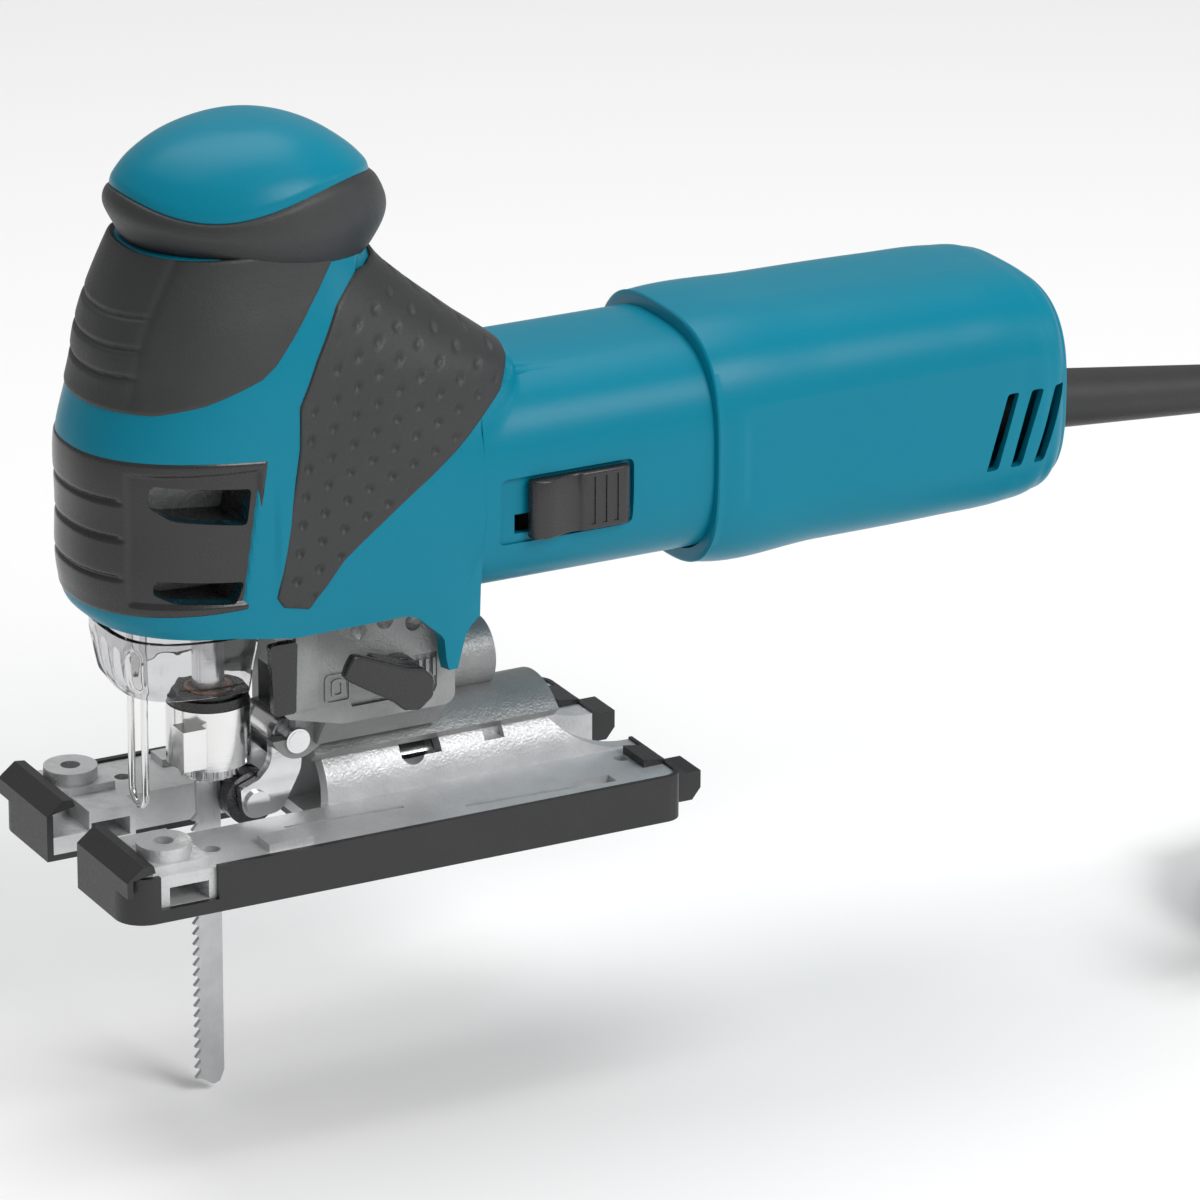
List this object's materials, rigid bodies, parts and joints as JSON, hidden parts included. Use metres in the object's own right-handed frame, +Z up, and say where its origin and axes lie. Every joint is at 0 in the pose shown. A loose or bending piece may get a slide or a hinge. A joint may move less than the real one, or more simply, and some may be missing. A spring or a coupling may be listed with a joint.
{
  "type": "jigsaw",
  "caption": "Corded barrel-grip jigsaw with a palm knob, tilting die-cast base, tool-less T-shank blade clamp, orbital guide roller and geared universal motor.",
  "frame": {"origin": "middle of the base on the sole plane, which lies on the workpiece", "axes": "+X towards the tail and cord, -X the cutting direction, +Y to the tool's right, +Z up; the blade hangs along -Z"},
  "size_m": [0.4167, 0.1314, 0.2547],
  "materials": {
    "cast_aluminium": "fine grained die casting",
    "sole_black": "satin black cover",
    "teal_shell": "lightly grained glass-filled nylon",
    "soft_grip": "dimpled soft moulding",
    "dark_plastic": "smooth moulded",
    "clear_cover": "smoked clear polycarbonate",
    "bright_steel": "turned and polished",
    "plated_steel": "nickel plated",
    "tool_steel": "stamped blade steel",
    "dark_steel": "blackened steel",
    "gear_steel": "hobbed and ground",
    "copper": "enamelled copper",
    "bronze": "sintered bronze",
    "lamination": "stacked steel sheet",
    "carbon": "carbon block",
    "board_green": "circuit board",
    "inner_plastic": "moulded insulation",
    "cord_rubber": "smooth cord sheath",
    "brass_blade": "bright brass"
  },
  "bodies": {
    "tool_body": {"clamp_bolt": "dark_steel", "gear_housing": "cast_aluminium", "head_shell_left": "teal_shell", "head_shell_right": "teal_shell", "front_grip": "soft_grip", "front_bezel": "dark_plastic", "side_grip_left": "soft_grip", "side_grip_right": "soft_grip", "knob_grip": "soft_grip", "knob_cap": "teal_shell", "housing_screws": "dark_steel", "motor_housing": "teal_shell", "rear_cover": "teal_shell", "stator_core": "lamination", "field_windings": "copper", "shaft_bearings": "bright_steel", "brush_holders": "inner_plastic", "carbon_brushes": "carbon", "switch_block": "inner_plastic", "controller_board": "board_green", "plunger_bushes": "bronze", "gear_shaft": "bright_steel", "pivot_pin": "bright_steel", "guard_wire": "plated_steel", "cord_guard": "cord_rubber", "cord_lead": "cord_rubber", "cord_coil": "cord_rubber", "cord_tail": "cord_rubber", "cord_tie": "dark_plastic", "plug_body": "cord_rubber", "plug_blades": "brass_blade"},
    "saddle": {"clamp_saddle": "bright_steel"},
    "base": {"base_plate": "cast_aluminium", "cover_plate": "sole_black"},
    "armature": {"armature_shaft": "bright_steel", "armature_core": "lamination", "armature_windings": "copper", "commutator": "copper", "cooling_fan": "inner_plastic", "pinion": "gear_steel"},
    "crank": {"crank_gear": "gear_steel", "crank_pin": "gear_steel"},
    "plunger": {"plunger_rod": "bright_steel", "yoke_plate": "gear_steel", "clamp_body": "bright_steel", "saw_blade": "tool_steel", "clamp_spring": "copper"},
    "clamp_turn": {"clamp_sleeve": "plated_steel", "clamp_cap": "dark_plastic"},
    "guide_arm": {"roller_arm": "bright_steel", "roller_pin": "bright_steel"},
    "roller": {"guide_roller": "dark_steel"},
    "orbital_selector": {"orbital_lever": "dark_plastic"},
    "switch": {"switch_slider": "dark_plastic", "switch_rod": "inner_plastic"},
    "release": {"release_lever": "dark_plastic"},
    "dust_guard": {"dust_cover": "clear_cover"},
    "dial": {"speed_dial": "dark_plastic"}
  },
  "joints": [
    {"name": "base_slide", "type": "slide", "parent": "tool_body", "child": "saddle", "axis": [1, 0, 0], "range_m": [0, 0.005]},
    {"name": "bevel_tilt", "type": "hinge", "parent": "saddle", "child": "base", "pos_m": [0.013, 0, 0.0125], "axis": [1, 0, 0], "range_deg": [-45, 45]},
    {"name": "armature_spin", "type": "hinge", "parent": "tool_body", "child": "armature", "pos_m": [0.033, 0, 0.0905], "axis": [1, 0, 0], "continuous": true},
    {"name": "crank_spin", "type": "hinge", "parent": "tool_body", "child": "crank", "pos_m": [-0.019, 0, 0.1157], "axis": [1, 0, 0], "continuous": true},
    {"name": "blade_stroke", "type": "slide", "parent": "tool_body", "child": "plunger", "axis": [0, 0, 1], "range_m": [0, 0.026]},
    {"name": "clamp_sleeve_turn", "type": "hinge", "parent": "plunger", "child": "clamp_turn", "pos_m": [-0.037, 0, 0.032], "axis": [0, 0, 1], "range_deg": [0, 24]},
    {"name": "guide_arm_swing", "type": "hinge", "parent": "tool_body", "child": "guide_arm", "pos_m": [-0.0186, 0, 0.0294], "axis": [0, 1, 0], "range_deg": [-3, 0]},
    {"name": "roller_spin", "type": "hinge", "parent": "guide_arm", "child": "roller", "pos_m": [-0.0278, 0, 0.013], "axis": [0, 1, 0], "continuous": true},
    {"name": "orbital_lever_turn", "type": "hinge", "parent": "tool_body", "child": "orbital_selector", "pos_m": [0.003, -0.023, 0.0465], "axis": [0, 1, 0], "range_deg": [0, 90]},
    {"name": "switch_travel", "type": "slide", "parent": "tool_body", "child": "switch", "axis": [-1, 0, 0], "range_m": [0, 0.006]},
    {"name": "release_lever_turn", "type": "hinge", "parent": "tool_body", "child": "release", "pos_m": [-0.028, -0.0242, 0.055], "axis": [0, 0, 1], "range_deg": [0, 40], "stiffness_Nm_per_rad": 0.02},
    {"name": "dust_cover_slide", "type": "slide", "parent": "tool_body", "child": "dust_guard", "axis": [0, 0, -1], "range_m": [0, 0.01]},
    {"name": "speed_dial_turn", "type": "hinge", "parent": "tool_body", "child": "dial", "pos_m": [0.1863, 0, 0.1025], "axis": [0, 1, 0], "range_deg": [0, 270]}
  ],
  "couplings": [
    {"joint": "crank_spin", "follows": "armature_spin", "ratio": -0.14546},
    {"joint": "clamp_sleeve_turn", "follows": "release_lever_turn", "ratio": 0.5}
  ]
}
